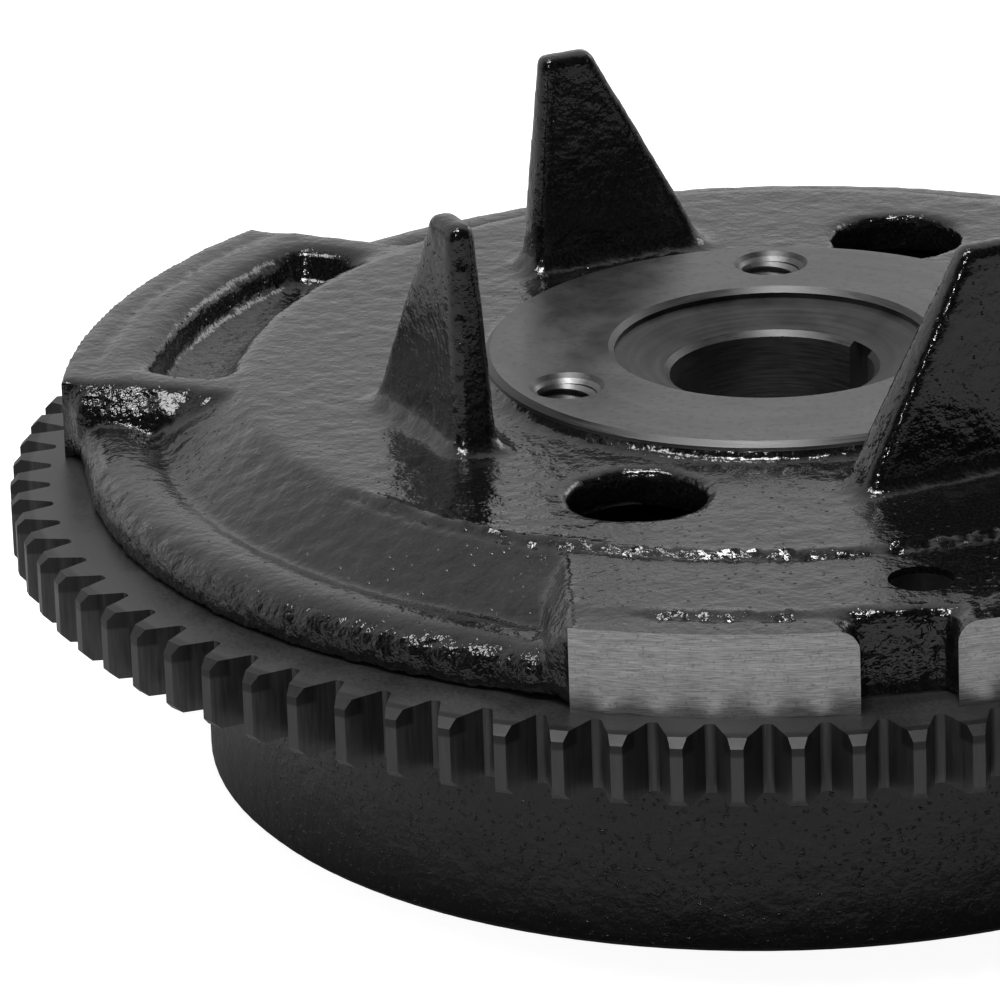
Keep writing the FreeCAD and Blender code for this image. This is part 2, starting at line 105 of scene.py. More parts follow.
SIDE_LAND_HALF = (SIDE_LAND_INNER_HALF + SIDE_LAND_OUTER_HALF) / 2
SIDE_LAND_TURNS = (math.radians(150.0), math.radians(30.0))
RECESS_INNER = 79.8 * MM
RECESS_OUTER = 91.2 * MM
RECESS_HALF = 27.4 * MM
TIMING_RADIUS = 4.6 * MM
TIMING_CIRCLE = 88.2 * MM
TIMING_TURN = math.radians(-86.9)
PULLER_TURN = math.radians(80.0)
SINK_RADIUS = 5.5 * MM
EDGE = 0.8 * MM
FULL_TURN = 2 * math.pi

# The block round the hub is cut out just outside its turned corners.
HUB_CUT_RADIUS = COUNTERBORE_RADIUS + 1.3 * MM
HUB_CUT_HEIGHT = HUB_TOP - 1.3 * MM

# Draft of the rim lands' end walls: a crisp top edge, a slope, and a foot tucked in at the ring gear.
DRAFT_TOP = 0.8 * MM
DRAFT_FOOT = 4.2 * MM
FOOT_TUCK = 1.5 * MM
DRAFT_REACH = 11 * MM

# Crumbly lip along a cast edge: half its width, the size of its crumbs, and the degrees it fades over.
LIP_WIDTH = 0.9 * MM
CRUMB_SIZE = 1.4 * MM
LIP_FADE = 1.5

# Softening of the cast surface: rounds for the fins, for the rest and for the recesses.
FIN_ROUNDS = 3
CAST_ROUNDS = 7
RECESS_ROUNDS = 30

# Size and height of the lumps of sand-cast iron.
LUMPS = ((7.0 * MM, 0.12 * MM), (3.0 * MM, 0.15 * MM), (1.8 * MM, 0.1 * MM))

# Places of the materials on the casting and on the machined hub.
ENAMEL, DRUM, TURNED, PAD, BREAK, CRINKLED = range(6)
HUB_TURNED, HUB_DISHED, HUB_BORED, HUB_BREAK = range(4)

# Light of the room: dim on the camera's side, bright behind the part.
FRONT_LIGHT = 0.02
BACK_LIGHT = 0.8


# ---------------------------------------------------------------- small tools

def column_values(mesh, name, width, collection="vertices"):
    """Array of one attribute of every element of a mesh."""
    elements = getattr(mesh, collection)
    values = np.zeros(len(elements) * width, np.float32)
    elements.foreach_get(name, values)
    return values.reshape(-1, width).astype(np.float64)


def smooth_step(low, high, value):
    """0 below the low end, 1 above the high end, and a soft ramp between them."""
    part = np.clip((value - low) / (high - low), 0.0, 1.0)
    return part * part * (3.0 - 2.0 * part)


def near(value, wanted, reach):
    """True where a value is within reach of the one wanted."""
    return np.abs(value - wanted) < reach


def add_object(name, data):
    """A new object in the scene that shows a mesh, a light or a camera."""
    made = bpy.data.objects.new(name, data)
    bpy.context.scene.collection.objects.link(made)
    return made


def shade(mesh, angle):
    """Smooth shading with a crisp line wherever the faces turn by more than an angle."""
    if "custom_normal" in mesh.attributes:
        mesh.attributes.remove(mesh.attributes["custom_normal"])
    mesh.polygons.foreach_set("use_smooth", [True] * len(mesh.polygons))
    mesh.set_sharp_from_angle(angle=math.radians(angle))


# ---------------------------------------------------------------- materials

class Nodes:
    """Short way to write a procedural material."""

    def __init__(self, name, metallic, roughness, **fixed):
        self.material = bpy.data.materials.new(name)
        self.material.use_nodes = True
        self.tree = self.material.node_tree
        self.shader = self.tree.nodes["Principled BSDF"]
        self.shader.inputs["Metallic"].default_value = metallic
        self.shader.inputs["Roughness"].default_value = roughness
        for socket, value in fixed.items():
            self.shader.inputs[socket.replace("_", " ")].default_value = value
        self.place = self.tree.nodes.new("ShaderNodeTexCoord").outputs["Object"]

    def put(self, value, socket):
        """Links an output to a socket, or sets the socket to a plain value."""
        if isinstance(value, bpy.types.NodeSocket):
            self.tree.links.new(value, socket)
        else:
            socket.default_value = value

    def noise(self, size, detail=3.0, place=None, rough=0.55):
        """Noise whose lumps are about a size across, from 0 to 1."""
        made = self.tree.nodes.new("ShaderNodeTexNoise")
        made.inputs["Scale"].default_value = 1.0 / size
        made.inputs["Detail"].default_value = detail
        made.inputs["Roughness"].default_value = rough
        self.put(place or self.place, made.inputs["Vector"])
        return made.outputs["Fac"]

    def cells(self, size):
        """Distance to the nearest of points scattered about a size apart."""
        made = self.tree.nodes.new("ShaderNodeTexVoronoi")
        made.inputs["Scale"].default_value = 1.0 / size
        self.put(self.place, made.inputs["Vector"])
        return made.outputs["Distance"]

    def math(self, operation, first, second=0.0):
        made = self.tree.nodes.new("ShaderNodeMath")
        made.operation = operation
        for socket, value in zip(made.inputs, (first, second)):
            self.put(value, socket)
        return made.outputs[0]

    def fit(self, value, low, high, to_low=0.0, to_high=1.0):
        made = self.tree.nodes.new("ShaderNodeMapRange")
        ends = {"From Min": low, "From Max": high, "To Min": to_low, "To Max": to_high}
        for name, number in ends.items():
            self.put(number, made.inputs[name])
        self.put(value, made.inputs["Value"])
        return made.outputs["Result"]

    def mix(self, amount, first, second):
        made = self.tree.nodes.new("ShaderNodeMix")
        made.data_type = "RGBA"
        self.put(amount, made.inputs[0])
        self.put(grey(first), made.inputs[6])
        self.put(grey(second), made.inputs[7])
        return made.outputs[2]

    def parts(self):
        """The place's x, y and z."""
        made = self.tree.nodes.new("ShaderNodeSeparateXYZ")
        self.put(self.place, made.inputs[0])
        return made.outputs

    def joined(self, x, y, z):
        made = self.tree.nodes.new("ShaderNodeCombineXYZ")
        for socket, value in zip(made.inputs, (x, y, z)):
            self.put(value, socket)
        return made.outputs[0]

    def turning(self):
        """Distance from the axis, angle about it and height."""
        x, y, z = self.parts()
        squares = self.math("ADD", self.math("MULTIPLY", x, x), self.math("MULTIPLY", y, y))
        across = self.math("SQRT", squares)
        return across, self.math("ARCTAN2", y, x), z

    def bump(self, height, depth, strength=1.0, before=None):
        made = self.tree.nodes.new("ShaderNodeBump")
        made.inputs["Strength"].default_value = strength
        made.inputs["Distance"].default_value = depth
        self.put(height, made.inputs["Height"])
        if before:
            self.put(before, made.inputs["Normal"])
        return made.outputs["Normal"]

    def finish(self, colour=None, roughness=None, normal=None):
        if colour is not None:
            self.put(colour, self.shader.inputs["Base Color"])
        if roughness is not None:
            self.put(roughness, self.shader.inputs["Roughness"])
        if normal is not None:
            self.put(normal, self.shader.inputs["Normal"])
        return self.material


def grey(value):
    """A grey as a colour; anything that is no number stays as it is."""
    return (value, value, value, 1.0) if isinstance(value, (int, float)) else value


def enamel(name, relief):
    """Black enamel over rough cast iron: glossy, rippled by the casting under it, finely pitted."""
    n = Nodes(name, 0.0, 0.2, Specular_IOR_Level=0.55)
    ripple = n.noise(2.6 * MM, 2.0, rough=0.45)
    peel = n.noise(1.1 * MM, 2.0, rough=0.5)
    grain = n.noise(0.42 * MM, 2.0)
    pits = n.fit(n.cells(1.9 * MM), 0.0, 0.16, 1.0, 0.0)
    patch = n.noise(26 * MM, 3.0)
    normal = n.bump(ripple, 0.3 * MM * relief, 0.5)
    normal = n.bump(peel, 0.22 * MM * relief, 0.55, normal)
    normal = n.bump(grain, 0.05 * MM, 0.35, normal)
    normal = n.bump(pits, 0.2 * MM, 0.7, normal)
    rough = n.math("ADD", n.fit(patch, 0.35, 0.65, 0.09, 0.17), n.fit(grain, 0.3, 0.7, -0.02, 0.04))
    colour = n.mix(n.fit(grain, 0.4, 0.7), 0.002, 0.008)
    return n.finish(colour, rough, normal)


def drum_enamel():
    """Thinner, duller paint on the drum, finely pebbled."""
    n = Nodes("drum_enamel", 0.0, 0.36, Specular_IOR_Level=0.42)
    pebble = n.noise(1.7 * MM, 4.0, rough=0.6)
    grain = n.noise(0.6 * MM, 3.0)
    crumbs = n.fit(n.noise(0.9 * MM, 2.0), 0.6, 0.74)
    normal = n.bump(pebble, 0.3 * MM, 0.7)
    normal = n.bump(grain, 0.1 * MM, 0.5, normal)
    normal = n.bump(crumbs, 0.14 * MM, 0.8, normal)
    rough = n.fit(n.noise(16 * MM, 3.0), 0.3, 0.7, 0.15, 0.27)
    colour = n.mix(n.fit(grain, 0.35, 0.75), 0.003, 0.008)
    return n.finish(colour, rough, normal)


def turned_iron():
    """Satin turned face, with fine tool rings about the axis."""
    n = Nodes("turned_iron", 1.0, 0.4)
    across, turn, height = n.turning()
    rings = n.noise(0.35 * MM, 2.0, n.joined(across, n.math("MULTIPLY", turn, 0.0006), height))
    wide = n.noise(3.0 * MM, 2.0, n.joined(across, n.math("MULTIPLY", turn, 0.004), height))
    stain = n.noise(11 * MM, 4.0)
    spots = n.fit(n.noise(1.1 * MM, 3.0), 0.52, 0.66)
    tone = n.math("ADD", n.fit(stain, 0.3, 0.7, 0.12, 0.165), n.fit(wide, 0.3, 0.7, -0.015, 0.02))
    colour = n.mix(n.math("MULTIPLY", spots, 0.45), n.joined(tone, tone, tone), 0.08)
    rough = n.fit(stain, 0.3, 0.7, 0.36, 0.5)
    normal = n.bump(rings, 0.014 * MM, 0.6)
    normal = n.bump(n.noise(0.6 * MM, 2.0), 0.02 * MM, 0.4, normal)
    return n.finish(colour, rough, normal)


def ground_pad():
    """Bright ground face of the magnet lands, brushed along the rim."""
    n = Nodes("ground_pad", 1.0, 0.36)
    across, turn, height = n.turning()
    along = n.joined(n.math("MULTIPLY", turn, 0.006), height, across)
    brush = n.noise(0.16 * MM, 3.0, along)
    long_streaks = n.noise(0.7 * MM, 2.0, n.joined(n.math("MULTIPLY", turn, 0.004), height, across))
    specks = n.fit(n.noise(0.5 * MM, 3.0), 0.56, 0.68)
    tone = n.math("ADD", n.fit(brush, 0.3, 0.7, 0.2, 0.44), n.fit(long_streaks, 0.3, 0.7, -0.05, 0.06))
    colour = n.mix(n.math("MULTIPLY", specks, 0.6), n.joined(tone, tone, tone), 0.17)
    normal = n.bump(brush, 0.03 * MM, 0.6)
    rough = n.fit(long_streaks, 0.3, 0.7, 0.3, 0.44)
    return n.finish(colour, rough, normal)


def dished_iron():
    """The dished floor of the counterbore, darker, with wide faint tool rings."""
    n = Nodes("dished_iron", 1.0, 0.42)
    across, turn, height = n.turning()
    rings = n.noise(0.9 * MM, 3.0, n.joined(across, n.math("MULTIPLY", turn, 0.001), height))
    stain = n.noise(6 * MM, 4.0)
    tone = n.math("ADD", n.fit(rings, 0.3, 0.7, 0.035, 0.065), n.fit(stain, 0.3, 0.7, -0.012, 0.02))
    normal = n.bump(rings, 0.03 * MM, 0.5)
    normal = n.bump(n.noise(0.5 * MM, 2.0), 0.03 * MM, 0.4, normal)
    return n.finish(n.joined(tone, tone, tone), n.fit(stain, 0.3, 0.7, 0.36, 0.52), normal)


def bored_iron():
    """Wall of the bore: smooth, dark, with faint lines round it."""
    n = Nodes("bored_iron", 1.0, 0.3)
    across, turn, height = n.turning()
    rings = n.noise(0.25 * MM, 2.0, n.joined(height, n.math("MULTIPLY", turn, 0.0006), across))
    colour = n.mix(n.fit(n.noise(9 * MM, 3.0), 0.3, 0.7), 0.1, 0.18)
    return n.finish(colour, n.fit(rings, 0.3, 0.7, 0.4, 0.55), n.bump(rings, 0.01 * MM, 0.5))


def bright_break():
    """Narrow machined chamfers, left bare."""
    n = Nodes("bright_break", 1.0, 0.36)
    across, turn, height = n.turning()
    rings = n.noise(0.2 * MM, 2.0, n.joined(across, n.math("MULTIPLY", turn, 0.001), height))
    colour = n.mix(n.fit(rings, 0.3, 0.7), 0.05, 0.085)
    return n.finish(colour, n.fit(rings, 0.3, 0.7, 0.36, 0.5), n.bump(rings, 0.01 * MM, 0.5))


def gear_steel():
    """Dark oiled steel: lighter tips, streaked along the teeth, bare on the crests."""
    n = Nodes("gear_steel", 0.7, 0.34)
    across, turn, height = n.turning()
    down_teeth = n.joined(n.math("MULTIPLY", turn, 0.11), n.math("MULTIPLY", height, 0.06), across)
    streak = n.noise(0.5 * MM, 3.0, down_teeth)
    cloud = n.noise(9 * MM, 3.0)
    crest = n.fit(across, TIP_RADIUS - 0.5 * MM, TIP_RADIUS - 0.1 * MM)
    base = n.math("ADD", n.fit(cloud, 0.3, 0.7, 0.036, 0.056), n.fit(streak, 0.3, 0.7, -0.012, 0.016))
    colour = n.mix(n.math("MULTIPLY", crest, 0.5), n.joined(base, base, base), 0.065)
    tooth_end = n.math("MULTIPLY", n.fit(height, GEAR_TOP - 2.6 * MM, GEAR_TOP - 2.2 * MM),
                       n.fit(across, TIP_RADIUS - 3.0 * MM, TIP_RADIUS - 2.4 * MM))
    colour = n.mix(n.math("MULTIPLY", tooth_end, 0.75), colour, 0.012)
    rough = n.math("ADD", n.fit(cloud, 0.3, 0.7, 0.36, 0.48), n.fit(streak, 0.3, 0.7, -0.03, 0.04))
    return n.finish(colour, rough, n.bump(streak, 0.02 * MM, 0.5))


def worn_edge():
    """Bare metal along the teeth's sharp edges, partly a painted highlight: the lighter colour on
    every bevelled edge also stands in for thin bright glints.
    """
    n = Nodes("worn_edge", 1.0, 0.34)
    # Painted highlight and wear: the lighter patches of this mix stand in for glints along the tooth
    # edges as well as bare metal.
    wear_and_glint = n.fit(n.noise(1.6 * MM, 3.0), 0.42, 0.62)
    return n.finish(n.mix(wear_and_glint, 0.07, 0.26), n.fit(wear_and_glint, 0.0, 1.0, 0.4, 0.28))


def ferrite():
    """Ground ceramic magnet: matte charcoal, fine grinding lines along the drum."""
    n = Nodes("ferrite", 0.0, 0.62)
    across, turn, height = n.turning()
    down_drum = n.joined(n.math("MULTIPLY", turn, 0.07), n.math("MULTIPLY", height, 0.03), across)
    lines = n.noise(0.3 * MM, 2.0, down_drum)
    grain = n.noise(0.5 * MM, 3.0)
    colour = n.mix(n.fit(grain, 0.35, 0.7), 0.035, 0.065)
    return n.finish(colour, n.fit(lines, 0.3, 0.7, 0.5, 0.7), n.bump(lines, 0.02 * MM, 0.5))


def cage_plastic():
    """Moulded nylon cage, finely spark-eroded."""
    n = Nodes("cage_plastic", 0.0, 0.5)
    grain = n.noise(0.35 * MM, 2.0)
    colour = n.mix(n.fit(n.noise(7 * MM, 2.0), 0.3, 0.7), 0.02, 0.032)
    return n.finish(colour, n.fit(grain, 0.3, 0.7, 0.42, 0.58), n.bump(grain, 0.03 * MM, 0.5))


# ---------------------------------------------------------------- the casting

def hub_zone():
    """Stepped round block that holds the turned hub face, the counterbore, the bore and its boss."""
    outer = HUB_RADIUS + MM
    profile = ((HUB_CUT_RADIUS, BOSS_BOTTOM - MM), (HUB_CUT_RADIUS, HUB_CUT_HEIGHT),
               (outer, HUB_CUT_HEIGHT), (outer, HUB_TOP + MM))
    shape = bmesh.new()
    steps = 192
    rings = []
    for radius, height in profile:
        ring = []
        for step in range(steps):
            angle = FULL_TURN * step / steps
            ring.append(shape.verts.new((radius * math.cos(angle), radius * math.sin(angle), height)))
        rings.append(ring)
    for lower, upper in zip(rings, rings[1:]):
        for step in range(steps):
            after = (step + 1) % steps
            shape.faces.new((lower[step], lower[after], upper[after], upper[step]))
    shape.faces.new(rings[0][::-1])
    shape.faces.new(rings[-1])
    bmesh.ops.recalc_face_normals(shape, faces=shape.faces)
    mesh = bpy.data.meshes.new("hub_zone")
    shape.to_mesh(mesh)
    shape.free()
    return add_object("hub_zone", mesh)


def applied(thing, name):
    """The thing's mesh with its modifiers applied; the thing itself goes."""
    graph = bpy.context.evaluated_depsgraph_get()
    mesh = bpy.data.meshes.new_from_object(thing.evaluated_get(graph))
    mesh.name = name
    bpy.data.objects.remove(thing)
    return mesh


def part_of_casting(name, zone, operation):
    """The CAD casting inside the hub zone, or outside it."""
    copy = add_object(name + "_copy", NODES["flywheel_casting"].data.copy())
    welded = bmesh.new()
    welded.from_mesh(copy.data)
    bmesh.ops.remove_doubles(welded, verts=welded.verts, dist=0.0005 * MM)
    welded.to_mesh(copy.data)
    welded.free()
    split = copy.modifiers.new("split", "BOOLEAN")
    split.object = zone
    split.operation = operation
    split.solver = "EXACT"
    return copy


def dense_casting(zone):
    """The casting round the hub with evenly sized faces, its machined corners kept sharp."""
    copy = part_of_casting("cast", zone, "DIFFERENCE")
    remesh = copy.modifiers.new("even", "REMESH")
    remesh.mode = "SHARP"
    remesh.octree_depth = 8
    remesh.scale = 0.99
    remesh.sharpness = 1.0
    remesh.use_remove_disconnected = False
    return applied(copy, "casting_skin")


def on_circle(radius, turn):
    """x and y of a point on a circle about the axis."""
    return radius * math.cos(turn), radius * math.sin(turn)


def puller_centres():
    """x and y of the three puller holes."""
    return [on_circle(PULLER_CIRCLE, PULLER_TURN + third * FULL_TURN / 3) for third in range(3)]


def in_puller_hole(x, y, radius):
    """True within a radius of any of the three puller holes."""
    inside = np.zeros(len(x), bool)
    for centre in puller_centres():
        inside |= np.hypot(x - centre[0], y - centre[1]) < radius
    return inside


def in_timing_hole(x, y, radius):
    """True within a radius of the timing hole in the front land."""
    centre = on_circle(TIMING_CIRCLE, TIMING_TURN)
    return np.hypot(x - centre[0], y - centre[1]) < radius


def machined(place, normal):
    """1 on turned, bored and ground surfaces, 0 on cast ones."""
    x, y, z = place.T
    across = np.hypot(x, y)
    out = (normal[:, 0] * x + normal[:, 1] * y) / np.maximum(across, 1e-9)
    up = normal[:, 2]
    hub = (z > DISC_TOP + 1.2 * MM) & (across < HUB_RADIUS + 0.3 * MM)
    bore = across < BOSS_RADIUS + 0.3 * MM
    boss_side = bore & (z < WEB_BOTTOM + 0.5 * MM)
    bore_hole = across < COUNTERBORE_RADIUS + 0.2 * MM
    front = (y < 0) & (np.abs(x) < FRONT_LAND_HALF + 2 * MM)
    pads = near(across, LAND_RADIUS, 0.25 * MM) & (z > GEAR_TOP - 0.5 * MM)
    pads &= front | (z < LAND_TOP - 0.9 * MM)
    seat = near(across, SEAT_RADIUS, 0.3 * MM) & (z < GEAR_TOP + 0.3 * MM)
    rim = z < 1.2 * MM
    inside = near(across, DRUM_INNER, 0.3 * MM) & (out < -0.5)
    shoulder = near(z, GEAR_BOTTOM, 0.2 * MM) & (up > 0.5)
    pullers = in_puller_hole(x, y, SINK_RADIUS + 0.3 * MM)
    drilled = in_timing_hole(x, y, TIMING_RADIUS + 0.4 * MM)
    return hub | boss_side | bore_hole | pads | seat | rim | inside | shoulder | pullers | drilled


def neighbour_average(values, edges, count):
    """Mean of a value over each vertex's neighbours."""
    ends = np.concatenate([edges[:, 0], edges[:, 1]])
    others = np.concatenate([edges[:, 1], edges[:, 0]])
    columns = [np.bincount(ends, values[others, k], len(values)) for k in range(values.shape[1])]
    return np.stack(columns, axis=1) / count[:, None]


def soft_zone(place):
    """1 round the recesses of the side lands, where the casting is most rounded."""
    x, y, z = place.T
    across = np.hypot(x, y)
    high = (z > GEAR_TOP + 4 * MM) & (z < HUB_TOP)
    soft = np.zeros(len(place), bool)
    for turn in SIDE_LAND_TURNS:
        beside = np.abs(y * math.cos(turn) - x * math.sin(turn))
        on_side = x * math.cos(turn) + y * math.sin(turn) > 0
        recess = (across > RECESS_INNER - 2 * MM) & (across < RECESS_OUTER + 3 * MM)
        soft |= on_side & (beside < RECESS_HALF + 2 * MM) & recess
    return (soft & high).astype(float)


def rim_lands():
    """Turn of each rim land, and half its width at the inner and the outer radius."""
    sides = [(turn, SIDE_LAND_INNER_HALF, SIDE_LAND_OUTER_HALF) for turn in SIDE_LAND_TURNS]
    return sides + [(FRONT_LAND_TURN, FRONT_LAND_INNER_HALF, FRONT_LAND_HALF)]


def with_draft(place):
    """Slopes the end walls of the rim lands outward below their top edges, as sand leaves them."""
    x, y, z = place.T
    across = np.hypot(x, y)
    deep = smooth_step(DRAFT_TOP, DRAFT_FOOT, LAND_TOP - z)
    deep *= smooth_step(GEAR_TOP, GEAR_TOP + FOOT_TUCK, z)
    outward = smooth_step(LAND_INNER, LAND_INNER + 5 * MM, across)
    for turn, inner, outer in rim_lands():
        beside = y * math.cos(turn) - x * math.sin(turn)
        along = x * math.cos(turn) + y * math.sin(turn)
        half = inner + (outer - inner) * (across - LAND_INNER) / (LAND_RADIUS - LAND_INNER)
        beyond = np.abs(beside) - half
        reach = smooth_step(-0.6 * MM, -0.3 * MM, beyond)
        reach *= 1.0 - smooth_step(0.5 * MM, DRAFT_REACH, beyond)
        shift = END_DRAFT * deep * outward * reach * (along > 0)
        shift *= 1.0 - smooth_step(LAND_RADIUS - 3.5 * MM, LAND_RADIUS - 0.6 * MM, across)
        side = np.sign(beside) * shift
        place[:, 0] -= side * math.sin(turn)
        place[:, 1] += side * math.cos(turn)


def crumbled(place, turn_low, turn_high, radius, height):
    """A crumbly lip with a dip outside it, along part of a circle on the casting's top."""
    x, y, z = place.T
    across = np.hypot(x, y)
    turn = np.degrees(np.arctan2(y, x))
    along = smooth_step(turn_low - LIP_FADE, turn_low + LIP_FADE, turn)
    along *= 1.0 - smooth_step(turn_high - LIP_FADE, turn_high + LIP_FADE, turn)
    beside = (across - radius) / LIP_WIDTH
    shape = np.exp(-(beside + 0.7) ** 2 * 1.6) - np.exp(-(beside - 0.7) ** 2 * 1.6)
    lift = shape * along * (z > GEAR_TOP + 5 * MM) * (z < HUB_TOP)
    for index in np.nonzero(np.abs(lift) > 0.03)[0]:
        crumb = 0.8 + 1.3 * noise.noise(Vector(place[index]) / CRUMB_SIZE)
        place[index, 2] += lift[index] * height * crumb


def cast_share(place, normal, edges, count):
    """1 well within the cast surfaces, fading to 0 at the machined ones."""
    cast = 1.0 - machined(place, normal).astype(float)
    for _ in range(3):
        around = neighbour_average(cast[:, None], edges, count)[:, 0]
        cast = np.minimum(cast, around * 0.5 + cast * 0.5)
    return cast * cast


def recess_share(place, edges, count):
    """1 round the recesses of the side lands, fading to 0 outside them."""
    soft = soft_zone(place)
    for _ in range(4):
        soft = neighbour_average(soft[:, None], edges, count)[:, 0]
    return soft


def softened(place, cast, soft, edges, count):
    """Rounds the cast edges: least on the fins, most round the recesses."""
    fin = place[:, 2] > DISC_TOP + 7 * MM
    for step in range(RECESS_ROUNDS):
        if step < FIN_ROUNDS:
            amount = cast
        elif step < CAST_ROUNDS:
            amount = cast * ~fin
        else:
            amount = cast * soft
        relaxed = neighbour_average(place, edges, count)
        place += (relaxed - place) * 0.5 * amount[:, None]


def lump_depth(place, normal, cast, soft):
    """How strongly the lumps show: most on walls and between the pads, less on tops, drum and fins."""
    across = np.hypot(place[:, 0], place[:, 1])
    drum = (across < DRUM_RADIUS + 1.5 * MM) & (place[:, 2] < GEAR_BOTTOM)
    level = smooth_step(0.75, 0.97, normal[:, 2])
    on_fin = smooth_step(DISC_TOP + 2 * MM, DISC_TOP + 6 * MM, place[:, 2])
    depth = np.where(drum, 0.5, 1.5 - 0.95 * level) * (1.0 - 0.7 * on_fin) * cast
    from_gap = np.abs(np.arctan2(place[:, 1], place[:, 0]) - FRONT_LAND_TURN)
    in_gap = (from_gap < math.radians(6.0)) & (across > PAD_GAP_RADIUS - 3 * MM)
    in_gap &= place[:, 2] > GEAR_TOP
    return np.where(in_gap, 2.2 * cast, depth) * (1.0 - 0.5 * soft)


def roughened(mesh):
    """Softens the cast edges and raises the lumps and pits of sand-cast iron."""
    place = column_values(mesh, "co", 3)
    edges = np.zeros(len(mesh.edges) * 2, np.int32)
    mesh.edges.foreach_get("vertices", edges)
    edges = edges.reshape(-1, 2)
    count = np.bincount(edges.ravel(), minlength=len(place)).astype(float)
    cast = cast_share(place, column_values(mesh, "normal", 3), edges, count)
    with_draft(place)
    soft = recess_share(place, edges, count)
    softened(place, cast, soft, edges, count)
    crumbled(place, -150.0, -52.0, DISC_RADIUS, 0.5 * MM)
    crumbled(place, -110.5, -97.5, STEP_RADIUS, 0.5 * MM)
    crumbled(place, 133.0, 167.0, STEP_RADIUS + MM, 0.22 * MM)
    crumbled(place, 13.0, 47.0, STEP_RADIUS + MM, 0.22 * MM)
    mesh.vertices.foreach_set("co", place.ravel())
    mesh.update()
    normal = column_values(mesh, "normal", 3)
    depth = lump_depth(place, normal, cast, soft)
    raised = np.zeros(len(place))
    for index in np.nonzero(depth > 0.01)[0]:
        point = Vector(place[index])
        raised[index] = sum(noise.noise(point / size) * height for size, height in LUMPS)
    place += normal * (raised * depth)[:, None]
    place[:, 2] = np.clip(place[:, 2], 0.0, FIN_TOP)
    mesh.vertices.foreach_set("co", place.ravel())
    mesh.update()


def casting_surfaces(mesh):
    """Which of the casting's materials each face shows, by its place and the way it faces."""
    centre = column_values(mesh, "center", 3, "polygons")
    normal = column_values(mesh, "normal", 3, "polygons")
    x, y, z = centre.T
    across = np.hypot(x, y)
    out = (normal[:, 0] * x + normal[:, 1] * y) / np.maximum(across, 1e-9)
    up = normal[:, 2]
    shown = np.full(len(x), ENAMEL, np.int32)
    drum = (across < DRUM_RADIUS + 0.6 * MM) & (across > DRUM_INNER - MM) & (z < GEAR_BOTTOM + MM)
    shown[drum | (z < WEB_BOTTOM + 1.5 * MM) & (across < DRUM_RADIUS)] = DRUM
    turned = (across < HUB_RADIUS + 0.05 * MM) & (z > HUB_TOP - 0.1 * MM)
    turned |= across < COUNTERBORE_RADIUS + 0.05 * MM
    turned |= near(across, SEAT_RADIUS, 0.3 * MM) & (z < GEAR_TOP) & (out > 0.5)
    turned |= (across < BOSS_RADIUS + 0.2 * MM) & (z < BOSS_BOTTOM + 1.0 * MM)
    turned |= in_puller_hole(x, y, SINK_RADIUS + 0.1 * MM)
    turned |= in_timing_hole(x, y, TIMING_RADIUS + 0.1 * MM) & (z > GEAR_TOP) & (z < BAND_TOP - MM)
    front_ends = (y < 0) & (np.abs(np.abs(x) - FRONT_LAND_HALF) < 5 * MM)
    steep = (up < 0.85) & (z > GEAR_TOP) & (across > 90 * MM) & (across < LAND_RADIUS - 0.3 * MM)
    ridge_side = steep & (across > 98.5 * MM) & (out > 0.3)
    land_ends = np.zeros(len(x), bool)
    for side_turn in SIDE_LAND_TURNS:
        beside = np.abs(y * math.cos(side_turn) - x * math.sin(side_turn))
        land_ends |= np.abs(beside - SIDE_LAND_HALF - MM) < 3 * MM
    from_gap = np.abs(np.arctan2(y, x) - FRONT_LAND_TURN)
    gap_wall = steep & (from_gap < math.radians(4.2)) & (across > PAD_GAP_RADIUS - 2 * MM)
    shown[ridge_side | gap_wall | steep & (land_ends | front_ends)] = CRINKLED
    shown[turned] = TURNED
    pads = near(across, LAND_RADIUS, 0.2 * MM) & (out > 0.8) & (z > GEAR_TOP - 0.2 * MM)
    shown[pads] = PAD
    slanted = (np.abs(up) > 0.4) & (np.abs(up) < 0.95)
    hub_break = near(across, HUB_RADIUS - EDGE / 2, EDGE) & (z > HUB_TOP - EDGE) & slanted
    well_break = near(across, COUNTERBORE_RADIUS + EDGE / 2, EDGE) & (z > HUB_TOP - EDGE) & slanted
    bore_break = near(across, BORE_RADIUS + EDGE / 2, EDGE) & (z > HUB_TOP - 6 * MM) & slanted
    rim_break = (z < EDGE) & slanted
    shown[hub_break | well_break | bore_break | rim_break] = BREAK
    mesh.polygons.foreach_set("material_index", shown)
    mesh.update()


def machined_hub(zone):
    """Turned hub face with its counterbore, bore, keyway and the upper part of the puller holes."""
    mesh = applied(part_of_casting("hub", zone, "INTERSECT"), "machined_hub")
    centre = column_values(mesh, "center", 3, "polygons")
    up = column_values(mesh, "normal", 3, "polygons")[:, 2]
    across = np.hypot(centre[:, 0], centre[:, 1])
    z = centre[:, 2]
    shown = np.full(len(z), HUB_TURNED, np.int32)
    shown[(across < COUNTERBORE_RADIUS + 0.1 * MM) & (z < HUB_TOP - 0.9 * MM)] = HUB_DISHED
    shown[(across < BORE_RADIUS + 3 * MM) & (np.abs(up) < 0.3)] = HUB_BORED
    slanted = (np.abs(up) > 0.4) & (np.abs(up) < 0.9)
    shown[slanted & (z > HUB_TOP - EDGE) & (across > COUNTERBORE_RADIUS - MM)] = HUB_BREAK
    shown[slanted & (across < BORE_RADIUS + EDGE) & (z > HUB_TOP - 6 * MM)] = HUB_BREAK
    mesh.materials.clear()
    for material in (bpy.data.materials["turned_iron"], dished_iron(), bored_iron(),
                     bpy.data.materials["bright_break"]):
        mesh.materials.append(material)
    mesh.polygons.foreach_set("material_index", shown)
    shade(mesh, 25)
    piece = add_object("machined_hub", mesh)
    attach(piece, "root")
    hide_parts("flywheel_casting")


